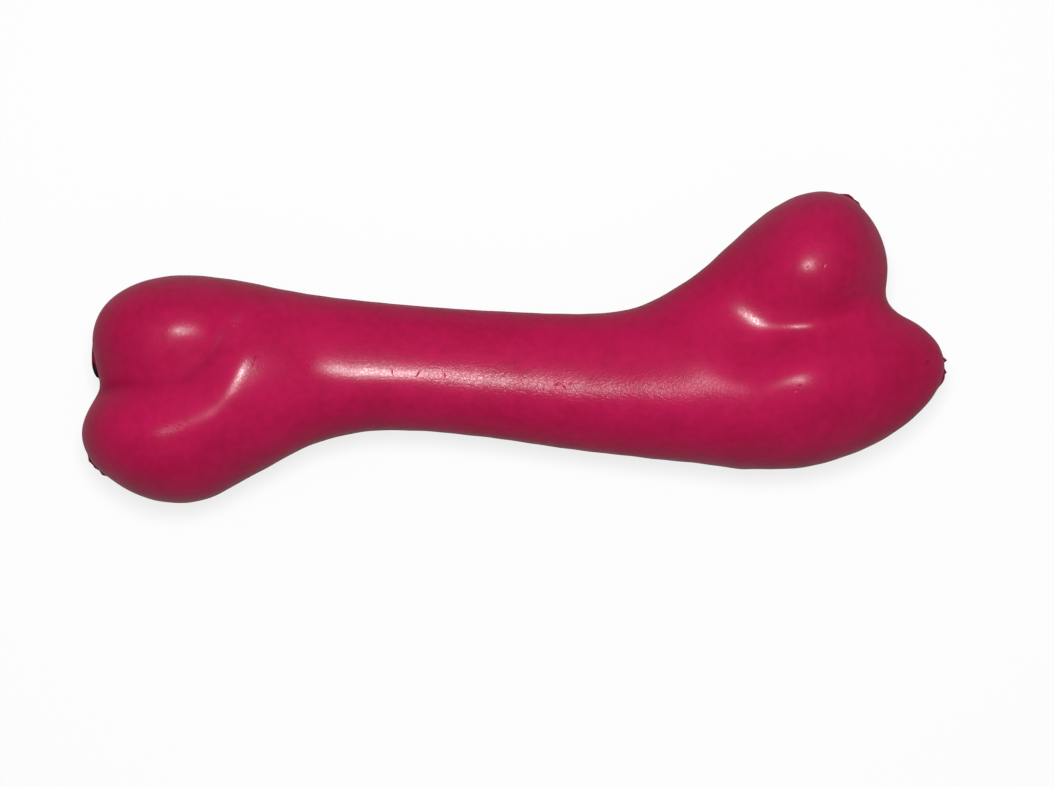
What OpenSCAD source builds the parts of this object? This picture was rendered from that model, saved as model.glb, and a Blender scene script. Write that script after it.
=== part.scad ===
// A hollow rubber chew bone: two moulded half shells bonded at the parting plane,
// and a reed squeaker seated in a collar of the underside.
// +X runs along the bone, +Z is up, and z = 0 is the surface that the knobs rest on.

/* [Bone] */
// Overall length, from the tip of one knob to the tip of the other
bone_l = 150; // [110:1:200]
// Overall width in plan, over the lobes that spread furthest
bone_w = 54.7; // [45:0.1:70]
// Plan radius of the largest knob lobe
knob_r = 12.5; // [10:0.1:15]
// Half thickness of the knobs, from the parting plane to the crown
knob_h = 16.2; // [13:0.1:19]
// Radius of the shaft at its waist
waist_r = 10.95; // [10.4:0.05:12]
// Half thickness of the shaft at its waist
waist_h = 11; // [10.5:0.1:12]
// Thickness of the rubber wall
wall = 3.4; // [3.1:0.1:4]

/* [Moulded relief] */
// Depth of the crease round the left upper lobe
crease_depth = 2.4; // [0.5:0.1:2.8]
// Half width of the crease
crease_w = 8; // [5:0.5:9]
// Height of the raised rim beyond the crease
rim_height = 1; // [0.2:0.1:1.4]
// Half width of the raised rim, where it has fallen to about a third
rim_w = 5; // [3:0.5:7]
// Depth of the valley between the right lobes
valley_depth = 2.4; // [0.5:0.1:2.8]
// Half width of the valley, where it has fallen to about a third
valley_w = 6; // [4:0.5:8]
// Height of the torn scars that the moulding flash left on three lobe tips
scar_h = 0.45; // [0:0.05:0.6]
// Half width of a scar
scar_w = 3.5; // [2:0.5:5]
// Height of the flash that stands along the parting line
flash_h = 0.2; // [0:0.05:0.3]
// Width over which the forms of the knobs melt into each other
knob_blend = 11; // [6:0.5:14]
// Width over which the shaft melts into the knobs
shaft_blend = 14; // [8:0.5:18]
// Width over which the right upper lobe melts into the shaft
arm_blend = 7; // [4:0.5:10]
// Width over which the two eggs of one lobe melt together
tip_blend = 7; // [4:0.5:10]

/* [Squeaker] */
// Radius of the squeaker barrel, and of the bore that holds it
barrel_r = 4.6; // [4:0.05:5]
// Length of the squeaker barrel
barrel_l = 10.5; // [9.5:0.1:12]
// Thickness of the barrel wall and of its foot
barrel_wall = 0.9; // [0.7:0.05:1.2]
// How far the barrel foot lies above the lowest line of the shaft
barrel_sink = 0.9; // [0.6:0.05:1.5]
// Radius of the rib that locks the barrel in the rubber
rib_r = 5.4; // [5.2:0.05:5.8]
// Height of the rib
rib_h = 1.2; // [0.8:0.05:1.6]
// Height of the rib's lower face above the barrel foot
rib_z = 3.4; // [2.8:0.1:4]
// Radius of the vent hole in the barrel foot
vent_r = 1.2; // [0.8:0.05:1.6]
// Radius of the rubber collar round the barrel
collar_r = 7.2; // [6.8:0.05:7.6]
// Height of the collar above the barrel foot
collar_h = 7; // [6:0.1:8]

/* [Reed] */
// Wall of the sleeve that holds the reed and its seat
sleeve_wall = 0.8; // [0.6:0.05:1]
// Length of the sleeve
sleeve_l = 7; // [6.5:0.1:7.5]
// Thickness of the reed
reed_t = 0.25; // [0.2:0.05:0.35]
// Width of the reed
reed_w = 3.4; // [3:0.1:3.6]
// Free length of the reed beyond its clamped root
reed_l = 4.6; // [4:0.1:5]
// Length of the clamped root
root_l = 1.6; // [1.2:0.1:1.8]
// Angle at which the reed stands open off its seat
reed_lift = 4; // [2:0.5:5]
// Clearance round the reed in its clamp
reed_gap = 0.12; // [0.1:0.01:0.16]
// Width of the air channel in the reed's seat
channel_w = 1.6; // [1.2:0.1:2]
// Depth of the air channel
channel_d = 1.1; // [0.8:0.1:1.4]

/* [Hidden] */
$fn = 64;
// Overrun of a cut past the face that it leaves
over = 0.5;

// Each lobe of a knob is one or two eggs. An egg has its place in plan as shares of bone_l and
// bone_w, its length and width as shares of knob_r, its half thickness as a share of knob_h,
// and its turn from +X in degrees
ball_left_share = [-0.394, 0.050, 1.06, 0.745, 0.87, 0];
lobe_left_share = [-0.415, -0.285, 1.075, 0.775, 0.90, -29];
neck_left_share = [-0.362, -0.144, 1.48, 1.24, 0.89, 9];
ball_right_share = [0.331, 0.201, 1.36, 0.98, 1.05, 61];
arm_right_share = [0.271, 0.057, 2.13, 1.12, 0.78, 34];
lobe_right_share = [0.344, -0.082, 1.65, 1.19, 0.945, 31];
tip_right_share = [0.402, -0.123, 1.19, 0.735, 0.53, 24];

// Stations of the shaft: x as a share of bone_l, middle in y as a share of bone_w,
// radius as a share of waist_r and half thickness as a share of waist_h
shaft_shares = [
    [-0.291, -0.063, 1.16, 1.17],
    [-0.224, -0.061, 1.11, 1.07],
    [-0.143, -0.060, 1.00, 1.01],
    [-0.039, -0.081, 1.00, 0.95],
    [0.076, -0.109, 1.08, 1.03],
    [0.169, -0.116, 1.18, 1.17],
    [0.261, -0.137, 1.14, 1.38],
    [0.319, -0.063, 1.13, 1.59]
];

// Line of the crease: place in plan as shares of bone_l and bone_w, and share of the full depth
crease_shares = [
    [-0.502, -0.160, 1.2],
    [-0.457, -0.120, 1.05],
    [-0.416, -0.113, 0.9],
    [-0.379, -0.108, 1],
    [-0.356, -0.073, 0.9],
    [-0.336, -0.018, 0.85],
    [-0.325, 0.046, 0.5],
    [-0.317, 0.101, 0]
];
// Soft mounds that lie in rows: place in plan as shares of bone_l and bone_w, share of the full
// height or depth, and share of the full half width
rim_shares = [
    [-0.303, -0.030, 0.3, 0.5],
    [-0.311, -0.080, 0.35, 0.5],
    [-0.321, -0.140, 0.35, 0.6],
    [-0.335, -0.240, 0.7, 1],
    [-0.378, -0.280, 1, 1],
    [-0.410, -0.255, 0.9, 0.9],
    [-0.366, 0.085, 0.25, 0.85]
];
valley_shares = [
    [0.442, 0.123, 0.65, 0.8],
    [0.416, 0.075, 0.7, 0.85],
    [0.372, 0.066, 0.85, 0.95],
    [0.318, 0.073, 1, 1.05],
    [0.268, 0.073, 0.85, 1.3],
    [0.215, 0.180, 0.45, 1.1]
];
scar_shares = [
    [0.497, -0.085, 1, 1],
    [0.386, 0.478, 0.6, 0.8],
    [-0.486, -0.375, 1, 0.8]
];

// Middles of the left and of the right fan of rays, as shares of bone_l and bone_w
left_middle_share = [-0.375, -0.103];
right_middle_share = [0.331, -0.078];
// Longest length that a ray may need
ray_l = 0.7 * bone_w;
// Steps of the surface: rings along the shaft and over each end, and columns over a half
shaft_rings = 36;
end_rings = 18;
columns = 26;
// Steps that solve one ray: halvings of its length, before a straight line ends it
halvings = 7;

// Height of the parting plane: the crowns of the knobs are cut flat where they stand
part_z = knob_h;
// Place of the squeaker along the bone, as a share of bone_l
squeaker_share = 0.1;
squeaker_x = squeaker_share * bone_l;
squeaker_y = shaft_at(squeaker_share, 1) * bone_w;
skin_z = part_z - shaft_at(squeaker_share, 3) * waist_h;
// The collar grows out of the wall from this share of its thickness
collar_root_share = 0.78;
collar_z = skin_z + collar_root_share * wall;
foot_z = skin_z + barrel_sink;
// Clearance between pieces that are pushed into each other
fit_gap = 0.02;
// Inner radius of the barrel and of the sleeve
sleeve_r = barrel_r - barrel_wall;
seat_r = sleeve_r - sleeve_wall;
// The sleeve ends flush with the barrel's mouth
sleeve_z = foot_z + barrel_l - sleeve_l;
// The reed turns about the edge of its clamp
root_z = sleeve_z + root_l;
// Length of the closed stretch at the air channel's upper end
channel_end = 1;

// Union of two gaps, melted over the width k
function melt(a, b, k) = min(a, b) - pow(max(k - abs(a - b), 0) / k, 3) * k / 6;
function ease(t) = t * t * (3 - 2 * t);
function within(v) = min(1, max(0, v));
function mix(a, b, t) = a + (b - a) * t;
function flat(share) = [share.x * bone_l, share.y * bone_w];

// Gap from a point to an egg: the point's place in units of the egg's half axes, less 1, divided
// by how fast that place changes there
function egg_gap(p, egg) =
    let(
        half = [egg[2] * knob_r, egg[3] * knob_r, egg[4] * knob_h],
        off = [p.x, p.y] - flat(egg),
        along = cos(egg[5]) * off.x + sin(egg[5]) * off.y,
        across = cos(egg[5]) * off.y - sin(egg[5]) * off.x,
        q = [along / half.x, across / half.y, p.z / half.z],
        k = norm(q)
    )
    k == 0 ? -half.y : (k - 1) * k / norm([q.x / half.x, q.y / half.y, q.z / half.z]);

// Slope of a table's column at row i, for the smooth curve through its rows, which ends level
function slope(table, i, column) =
    i == 0 || i == len(table) - 1 ? 0
    : (table[i + 1][column] - table[i - 1][column]) / (table[i + 1][0] - table[i - 1][0]);

// A column of the shaft's table at x, a share of bone_l, on the smooth curve through its rows
function shaft_at(x, column) =
    let(
        last = len(shaft_shares) - 2,
        i = min(max(len([for (row = shaft_shares) if (row[0] <= x) 1]) - 1, 0), last),
        a = shaft_shares[i],
        b = shaft_shares[i + 1],
        width = b[0] - a[0],
        t = within((x - a[0]) / width),
        bend = t * (1 - t) * width
    )
    mix(a[column], b[column], ease(t))
        + bend * ((1 - t) * slope(shaft_shares, i, column) - t * slope(shaft_shares, i + 1, column));

// Gap from a point to the shaft, a tube of varying radius about a gently bent middle line
function shaft_gap(p) =
    let(
        x = p.x / bone_l,
        first = shaft_shares[0][0],
        last = shaft_shares[len(shaft_shares) - 1][0],
        middle = shaft_at(x, 1) * bone_w,
        r = shaft_at(x, 2) * waist_r,
        h = shaft_at(x, 3) * waist_h,
        past = max(first - x, x - last, 0) * bone_l
    )
    norm([past, p.y - middle, p.z * r / h]) - r;

// Gap from a point to the bone before the relief is pressed into it: negative inside
function bone_gap(p) =
    let(
        lobes = melt(egg_gap(p, ball_left_share), egg_gap(p, lobe_left_share), knob_blend),
        left = melt(lobes, egg_gap(p, neck_left_share), knob_blend),
        shaft = melt(shaft_gap(p), left, shaft_blend),
        right = melt(egg_gap(p, lobe_right_share), egg_gap(p, tip_right_share), tip_blend),
        arm = melt(egg_gap(p, ball_right_share), egg_gap(p, arm_right_share), tip_blend)
    )
    melt(melt(shaft, right, tip_blend), arm, arm_blend);

// How near a point lies to a line: its share on the line, 0 past the line's half width
function line_near(p, line, width) =
    max([
        for (i = [0 : len(line) - 2])
            let(
                from = flat(line[i]),
                run = flat(line[i + 1]) - from,
                side = [p.x, p.y] - from,
                t = within(side * run / (run * run)),
                q = min(norm(side - t * run) / width, 1)
            )
            mix(line[i][2], line[i + 1][2], t) * (1 - q) * (1 - q)
    ]);

// Height of a row of soft mounds at a point, as a share of the full height
function mounds(p, rows, width) =
    [for (row = rows) row[2]]
    * [for (row = rows) exp(-pow(norm([p.x, p.y] - flat(row)) / (row[3] * width), 2))];

// Depth of the relief under the bone's plain form
function relief(p) =
    crease_depth * line_near(p, crease_shares, crease_w)
    + valley_depth * mounds(p, valley_shares, valley_w)
    - rim_height * mounds(p, rim_shares, rim_w)
    - scar_h * mounds(p, scar_shares, scar_w);

// Length of the ray from o along d to a skin that lies the depth deep under the pressed form. The
// plain form is found first, and the relief then shifts the point along the ray
function reach(o, d, depth, lo = 0, hi = ray_l, n = halvings) =
    let(middle = (lo + hi) / 2)
    n == 0 ? pressed(o, d, depth, lo, hi)
    : bone_gap(o + middle * d) + depth < 0 ? reach(o, d, depth, middle, hi, n - 1)
    : reach(o, d, depth, lo, middle, n - 1);
function pressed(o, d, depth, lo, hi) =
    let(
        gap = bone_gap(o + lo * d) + depth,
        rate = (bone_gap(o + hi * d) + depth - gap) / (hi - lo),
        plain = lo - gap / rate
    )
    plain - relief(o + plain * d) / rate;

// Ring number i of n_end + n_shaft + n_end: where its rays start, and how far they lean to an end
function ring_start(i, n_end, n_shaft) =
    let(middle = mix(flat(left_middle_share), flat(right_middle_share), within((i - n_end) / n_shaft)))
    [middle.x, middle.y, 0];
function ring_lean(i, n_end, n_shaft) =
    i < n_end ? -90 * (1 - i / n_end)
    : i > n_end + n_shaft ? 90 * (i - n_end - n_shaft) / n_end
    : 0;

// Points of one skin of a half: the left pole, the rings from left to right, the right pole. The
// skin lies the depth deep, and the flash stands on its edge
function skin_points(n_end, n_shaft, n_column, depth, flash) =
    [
        for (i = [0 : 2 * n_end + n_shaft])
            let(
                o = ring_start(i, n_end, n_shaft),
                lean = ring_lean(i, n_end, n_shaft),
                pole = i == 0 || i == 2 * n_end + n_shaft
            )
            for (j = [0 : pole ? 0 : n_column])
                let(
                    turn = 180 * j / n_column,
                    d = [sin(lean), cos(lean) * cos(turn), cos(lean) * sin(turn)],
                    edge = j == 0 || j == n_column || pole,
                    hit = o + (reach(o, d, depth) + (edge ? flash : 0)) * d
                )
                [hit.x, hit.y, edge ? 0 : hit.z]
    ];

// Number of the point in ring i and column j of a skin
function at(i, j, rings, n_column) =
    i == 0 ? 0
    : i == rings ? 1 + (rings - 1) * (n_column + 1)
    : 1 + (i - 1) * (n_column + 1) + j;

// How far the middle of the line from a to b lies off the true skin
function off_skin(a, b, depth) =
    let(middle = (a + b) / 2)
    abs(bone_gap(middle) + relief(middle) + depth);

// Faces of a skin. Each four-sided step is split along the diagonal that lies nearer to the true skin
function skin_faces(points, rings, n_column, depth) =
    [
        for (i = [0 : rings - 1])
            for (j = [0 : n_column - 1])
                let(
                    a = at(i, j, rings, n_column),
                    b = at(i + 1, j, rings, n_column),
                    c = at(i + 1, j + 1, rings, n_column),
                    d = at(i, j + 1, rings, n_column)
                )
                each
                    i == 0 ? [[a, b, c]]
                    : i == rings - 1 ? [[a, c, d]]
                    : off_skin(points[a], points[c], depth) < off_skin(points[b], points[d], depth)
                        ? [[a, b, c], [a, c, d]]
                        : [[a, b, d], [b, c, d]]
    ];
function turned(faces) = [for (f = faces) [f[2], f[1], f[0]]];
function counted_from(start, faces) = [for (f = faces) [f[0] + start, f[1] + start, f[2] + start]];

// Faces of the parting plane along one side: two outer steps to each inner step
function rim_faces(outer, inner) =
    [
        for (k = [0 : len(inner) - 2])
            each [
                [inner[k], outer[2 * k + 1], outer[2 * k]],
                [inner[k], inner[k + 1], outer[2 * k + 1]],
                [inner[k + 1], outer[2 * k + 2], outer[2 * k + 1]]
            ]
    ];

// Shell of the half above the parting plane, which lies at z = 0 here
module half_shell() {
    rings = 2 * end_rings + shaft_rings;
    inner_rings = rings / 2;
    inner_columns = columns / 2;
    outer_points = skin_points(end_rings, shaft_rings, columns, 0, flash_h);
    inner_points = skin_points(end_rings / 2, shaft_rings / 2, inner_columns, wall, 0);
    start = len(outer_points);
    side = [0, 1];
    outer_edges = [for (s = side) [for (i = [0 : rings]) at(i, s * columns, rings, columns)]];
    inner_edges =
        [
            for (s = side)
                [for (i = [0 : inner_rings]) start + at(i, s * inner_columns, inner_rings, inner_columns)]
        ];
    polyhedron(
        points = concat(outer_points, inner_points),
        faces = concat(
            skin_faces(outer_points, rings, columns, 0),
            counted_from(start, turned(skin_faces(inner_points, inner_rings, inner_columns, wall))),
            rim_faces(outer_edges[0], inner_edges[0]),
            turned(rim_faces(outer_edges[1], inner_edges[1]))
        ),
        convexity = 6
    );
}

module at_squeaker(z) translate([squeaker_x, squeaker_y, z]) children();

// Upper half of the moulding, on the side away from the squeaker
module upper_half() {
    color("#b01c50") translate([0, 0, part_z]) half_shell();
}

// Lower half of the moulding, with the collar and the bore for the squeaker
module lower_half() {
    color("#a81a4c")
        difference() {
            union() {
                translate([0, 0, part_z]) mirror([0, 0, 1]) half_shell();
                at_squeaker(collar_z) cylinder(r = collar_r, h = foot_z + collar_h - collar_z);
            }
            at_squeaker(-over) cylinder(r = barrel_r + fit_gap, h = foot_z + barrel_l);
            at_squeaker(foot_z + rib_z - fit_gap) cylinder(r = rib_r + fit_gap, h = rib_h + 2 * fit_gap);
            translate([-bone_l, -bone_w, -part_z]) cube([2 * bone_l, 2 * bone_w, part_z]);
        }
}

// Barrel of the squeaker: a cup with a vent hole in its foot and a rib that locks in the rubber
module squeaker_barrel() {
    color("#e8e4d8")
        at_squeaker(foot_z)
            difference() {
                union() {
                    cylinder(r = barrel_r, h = barrel_l);
                    translate([0, 0, rib_z]) cylinder(r = rib_r, h = rib_h);
                }
                translate([0, 0, barrel_wall]) cylinder(r = sleeve_r, h = barrel_l);
                translate([0, 0, -over]) cylinder(r = vent_r, h = barrel_wall + 2 * over);
            }
}

// Half round block that fills one side of the sleeve's bore, from the plane x = from outwards
module half_round(r, h, from) {
    intersection() {
        cylinder(r = r, h = h);
        translate([from > 0 ? from : -2 * r, -r, 0]) cube([from > 0 ? 2 * r : 2 * r + from, 2 * r, h]);
    }
}

// Sleeve pressed into the barrel. A half round clamp in its lower end holds the reed's root
module reed_sleeve() {
    color("#d8d4c8")
        at_squeaker(sleeve_z) {
            difference() {
                cylinder(r = sleeve_r - fit_gap, h = sleeve_l);
                translate([0, 0, -over]) cylinder(r = seat_r, h = sleeve_l + 2 * over);
            }
            half_round(seat_r + sleeve_wall / 2, root_l, reed_t + 2 * reed_gap);
        }
}

// Half round seat that the reed beats on, with an air channel open at its lower end
module reed_seat() {
    color("#c8c4b8")
        at_squeaker(sleeve_z)
            difference() {
                half_round(seat_r - fit_gap, sleeve_l, -fit_gap);
                translate([-channel_d, -channel_w / 2, -over])
                    cube([channel_d + over, channel_w, sleeve_l - channel_end + over]);
            }
}

// Thin plastic reed, which stands open off its seat and closes on it
module reed() {
    color("#f4f2ea")
        at_squeaker(root_z)
            translate([reed_gap, 0, 0])
                rotate([0, reed_lift, 0])
                    translate([0, -reed_w / 2, -root_l])
                        cube([reed_t, reed_w, root_l + reed_l]);
}

upper_half();
lower_half();
squeaker_barrel();
reed_sleeve();
reed_seat();
reed();
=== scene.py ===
"""A hollow rubber chew bone with a reed squeaker in its underside, dressed round its CAD model.

The two moulded half shells are worked out here again from the same forms as the CAD halves, on a
finer grid and with the finer marks of the moulding, and stand for them. Lengths are in millimetres
until a mesh is made.
"""

import bpy
import numpy as np
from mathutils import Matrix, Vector


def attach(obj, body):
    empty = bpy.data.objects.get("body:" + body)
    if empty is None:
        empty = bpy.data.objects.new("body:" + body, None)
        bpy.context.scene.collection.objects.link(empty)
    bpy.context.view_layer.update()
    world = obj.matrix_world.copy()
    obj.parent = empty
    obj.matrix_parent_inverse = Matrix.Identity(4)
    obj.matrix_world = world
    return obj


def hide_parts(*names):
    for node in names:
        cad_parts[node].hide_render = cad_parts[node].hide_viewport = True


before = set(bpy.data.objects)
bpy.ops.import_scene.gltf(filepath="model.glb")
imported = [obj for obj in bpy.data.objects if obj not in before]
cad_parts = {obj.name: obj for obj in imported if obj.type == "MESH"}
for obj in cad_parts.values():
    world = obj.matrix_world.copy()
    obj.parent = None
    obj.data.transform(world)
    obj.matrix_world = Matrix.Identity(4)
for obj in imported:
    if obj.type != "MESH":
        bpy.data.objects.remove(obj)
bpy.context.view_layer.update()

MM = 0.001

# Driving sizes of the bone: its length and width in plan, the largest lobe's radius, the knobs'
# half thickness, the waist's radius and half thickness, and the rubber wall
BONE = np.array([150.0, 54.7])
KNOB_R = 12.5
KNOB_H = 16.2
WAIST_R = 10.95
WAIST_H = 11.0
WALL = 3.4
PART_Z = KNOB_H
# How far the dressed skin lies inside the CAD skin, so that it stays within the CAD model's box
INSET = 0.06

# Each lobe is one or two eggs: place in plan as shares of BONE, length and width as shares of
# KNOB_R, half thickness as a share of KNOB_H, and turn from +X in degrees
BALL_LEFT = [-0.394, 0.050, 1.06, 0.745, 0.87, 0]
LOBE_LEFT = [-0.415, -0.285, 1.075, 0.775, 0.90, -29]
NECK_LEFT = [-0.362, -0.144, 1.48, 1.24, 0.89, 9]
BALL_RIGHT = [0.331, 0.201, 1.36, 0.98, 1.05, 61]
ARM_RIGHT = [0.271, 0.057, 2.13, 1.12, 0.78, 34]
LOBE_RIGHT = [0.344, -0.082, 1.65, 1.19, 0.945, 31]
TIP_RIGHT = [0.402, -0.123, 1.19, 0.735, 0.53, 24]

# Stations of the shaft: x and middle in y as shares of BONE, radius as a share of WAIST_R and half
# thickness as a share of WAIST_H
SHAFT_SHARES = np.array([
    [-0.291, -0.063, 1.16, 1.17],
    [-0.224, -0.061, 1.11, 1.07],
    [-0.143, -0.060, 1.00, 1.01],
    [-0.039, -0.081, 1.00, 0.95],
    [0.076, -0.109, 1.08, 1.03],
    [0.169, -0.116, 1.18, 1.17],
    [0.261, -0.137, 1.14, 1.38],
    [0.319, -0.063, 1.13, 1.59],
])

# Widths over which the forms melt into each other: knob forms, shaft, right upper lobe, and the
# eggs of one lobe
KNOB_BLEND = 11.0
SHAFT_BLEND = 14.0
ARM_BLEND = 7.0
TIP_BLEND = 7.0

# Line of the crease: place in plan as shares of BONE, and share of the full depth. It is a V with a
# narrow round bottom
CREASE_DEPTH, CREASE_W, CREASE_ROUND = 2.4, 8.0, 1.6
CREASE = [
    [-0.502, -0.160, 1.2],
    [-0.457, -0.120, 0.95],
    [-0.416, -0.113, 0.8],
    [-0.379, -0.108, 0.8],
    [-0.356, -0.073, 0.72],
    [-0.336, -0.018, 0.5],
    [-0.325, 0.046, 0.22],
    [-0.317, 0.101, 0],
]

# Soft mounds that lie in rows: place in plan as shares of BONE, share of the full height or depth,
# and share of the full half width. The last two rows of RIM lie on the crown of the left upper lobe
RIM_HEIGHT, RIM_W = 1.0, 5.0
RIM = [
    [-0.303, -0.030, 0.3, 0.5],
    [-0.311, -0.080, 0.35, 0.5],
    [-0.321, -0.140, 0.35, 0.6],
    [-0.335, -0.240, 0.7, 1],
    [-0.378, -0.280, 0.6, 1.35],
    [-0.410, -0.255, 0.5, 1.35],
    [-0.366, 0.085, 0.25, 0.85],
    [-0.405, -0.008, 0.12, 0.6],
]
VALLEY_DEPTH, VALLEY_W = 2.4, 6.0
VALLEY = [
    [0.442, 0.123, 0.65, 0.8],
    [0.416, 0.075, 0.7, 0.85],
    [0.372, 0.066, 0.85, 0.95],
    [0.318, 0.073, 1, 1.05],
    [0.276, 0.073, 0.85, 1.3],
    [0.224, 0.180, 0.45, 1.1],
]
SCAR_HEIGHT, SCAR_W = 0.2, 3.5
SCARS = [
    [0.497, -0.085, 1, 1],
    [0.386, 0.478, 0.6, 0.8],
    [-0.486, -0.375, 1, 0.8],
]

# The crown of the shaft leans towards -Y between two places, in mm
LEAN_DEPTH, LEAN_W = 1.1, 6.0
LEAN_FROM, LEAN_TO, LEAN_RAMP = -36.0, 34.0, 10.0

# Slow unevenness of the moulding: the height of each of its waves
SWELL_HEIGHT = 0.015
# Rounding of the lower skin into the squeaker's bore: its depth and width
LIP_DEPTH, LIP_W = 0.6, 1.4

# Broad dents of the upper skin, in mm: place in plan, depth, and the radius at which it has fallen
# to about a third
DENTS = [
    [52.6, 14.0, 0.12, 3.2],
    [-59.6, 1.6, 0.07, 1.6],
    [-55.2, 3.6, 0.07, 1.6],
    [-57.5, -13.4, 0.10, 3.0],
]
# Small marks of the mould and of wear, too fine for the mesh, in mm: place in plan, half length,
# half width, turn from +X in degrees, and height (below 0 it is a pit)
MARKS = [
    [-47.1, 5.5, 0.55, 0.28, 80, 0.11],
    [-47.2, 4.7, 0.6, 0.3, 80, 0.12],
    [-47.3, 3.8, 0.55, 0.28, 80, 0.11],
    [-58.3, 2.6, 0.4, 0.25, 40, 0.03],
    [-59.8, 1.5, 0.45, 0.25, 20, 0.035],
    [-55.6, 4.3, 0.4, 0.2, 70, 0.03],
    [-43.5, -1.9, 0.9, 0.16, 65, -0.08],
    [-43.9, -3.1, 0.9, 0.16, 110, -0.08],
    [-42.3, -3.4, 0.5, 0.16, 90, -0.06],
    [-48.4, 3.9, 0.5, 0.13, 70, -0.04],
    [-49.3, 3.8, 0.5, 0.13, 105, -0.04],
    [-50.2, 4.0, 0.5, 0.13, 80, -0.04],
    [-51.3, 4.1, 0.4, 0.13, 100, -0.03],
    [-20.6, -4.3, 0.9, 0.14, 100, -0.05],
    [-16.2, -4.6, 1.1, 0.16, 60, -0.06],
    [-11.7, -4.9, 0.8, 0.16, 95, -0.06],
    [7.4, -6.4, 0.7, 0.25, 20, 0.08],
    [8.6, -6.9, 0.6, 0.22, 130, 0.07],
    [9.6, -6.2, 0.6, 0.2, 45, -0.06],
    [49.4, 13.2, 0.5, 0.25, 30, -0.035],
    [52.2, 13.4, 0.5, 0.22, 60, -0.08],
    [56.3, 12.5, 0.8, 0.22, 70, -0.12],
    [56.9, 11.3, 0.6, 0.2, 50, 0.09],
    [54.9, 10.9, 0.5, 0.2, 120, -0.06],
    [48.0, -6.5, 0.35, 0.3, 0, 0.07],
    [47.4, -7.5, 0.4, 0.25, 40, -0.07],
    [41.7, -4.3, 0.35, 0.3, 0, 0.07],
    [70.8, -2.6, 0.35, 0.35, 0, -0.10],
]
# Where the skin is rubbed bright, or below 0 is dull, in mm: place in plan, amount, and the radius
# at which it has fallen to about a third
POLISH = [
    [-36.0, -2.9, -0.5, 2.6],
    [-30.0, -3.2, 0.9, 2.6],
    [-25.5, -3.9, 1.3, 2.8],
    [-21.0, -4.2, 1.2, 2.8],
    [-16.5, -4.8, 1.2, 2.8],
    [-12.0, -5.3, 1.2, 2.8],
    [-7.0, -5.9, 1.2, 2.8],
    [-2.0, -6.1, 1.1, 2.8],
    [4.0, -6.0, 0.8, 2.8],
    [10.0, -6.4, 0.7, 2.8],
    [17.0, -6.9, 0.5, 3],
    [24.0, -7.2, 0.5, 3],
    [31.0, -7.6, 0.3, 3],
    [-45.0, -4.4, 2.0, 1.9],
    [-46.6, -7.0, 0.7, 1.9],
    [-47.2, 4.6, 2.5, 1.0],
    [-57.2, 2.6, 0.6, 3.6],
    [-60.8, 0.0, 0.5, 1.8],
    [-53.8, 5.2, 0.5, 2.0],
    [-51.9, -0.8, -0.5, 1.6],
    [-50.9, 1.2, -0.5, 1.6],
    [-50.4, 3.4, -0.5, 1.6],
    [38.6, 6.4, 1.2, 2.0],
    [41.6, 4.9, 2.6, 1.9],
    [48.5, 3.9, 0.6, 3.5],
    [-62.0, -13.9, -0.33, 3],
    [-56.5, -13.4, -0.28, 3],
    [49.6, -6.2, 0.7, 2.2],
    [51.4, 14.4, 0.8, 4.2],
]
# Line that the crazing of the crown follows, beside the shaft's middle line, and its half width
CROWN_SIDE, CROWN_W = -2.0, 4.5
# Half width of the painted shade in the crease
CREASE_SHADE_W = 1.3
# Painted shadow along the outline at the left knob's notch: a line in plan, in mm, how far it is
# whole to each side and above and below the parting line, and how much further it fades out
NOTCH_SHADOW_LINE = [[-73.3, -2.9], [-72.7, -4.1], [-72.3, -5.1], [-71.9, -5.8], [-71.4, -6.7]]
NOTCH_SHADOW_W, NOTCH_SHADOW_FADE = 0.45, 0.25
NOTCH_SHADOW_RISE, NOTCH_SHADOW_RISE_FADE = 1.2, 1.8
# Darkening painted in the bottom of one pit: its place in plan, its radius and its share
PIT = [70.8, -2.6]
PIT_R, PIT_DARK = 0.3, 0.35

# Middles of the left and right fan of rays, as shares of BONE, and the longest ray
LEFT_MIDDLE = np.array([-0.375, -0.103])
RIGHT_MIDDLE = np.array([0.331, -0.078])
RAY_L = 0.7 * BONE[1]

# The squeaker's place in plan and the sizes of its barrel, of the bore and rib groove in the
# rubber, and of the collar round it, which are those of the CAD
SQUEAKER_SHARE = 0.1
FIT_GAP = 0.02
BARREL_R, BARREL_L, BARREL_WALL, BARREL_SINK = 4.6, 10.5, 0.9, 0.9
RIB_R, RIB_H, RIB_Z = 5.4, 1.2, 3.4
VENT_R = 1.2
COLLAR_R, COLLAR_H, COLLAR_ROOT = 7.2, 7.0, 0.78
# Roundings of the collar and of the barrel, and the radius of the collar's inside before the bore
# is cut through it
COLLAR_ROUND, BARREL_ROUND = 0.5, 0.25
COLLAR_CORE_R = 2.0
# The bore is cut from this far below the barrel's foot, and its cutter closes at this radius
BORE_LOW, AXIS_R = -3.0, 0.001

# Flash along the parting line, in mm: how far it stands out, half its thickness at its root, and
# how deep its root lies in the rubber
FLASH_H = 0.12
FLASH_ROOT = 0.16
FLASH_SINK = 0.4
# Share of near-black painted on the whole flash
FLASH_DARK = 0.5
# Half section of the flash: share of its height outwards and share of its half thickness
FLASH_SECTION = [[0.0, 1.0], [0.45, 0.8], [0.8, 0.5], [1.0, 0.15]]
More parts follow.
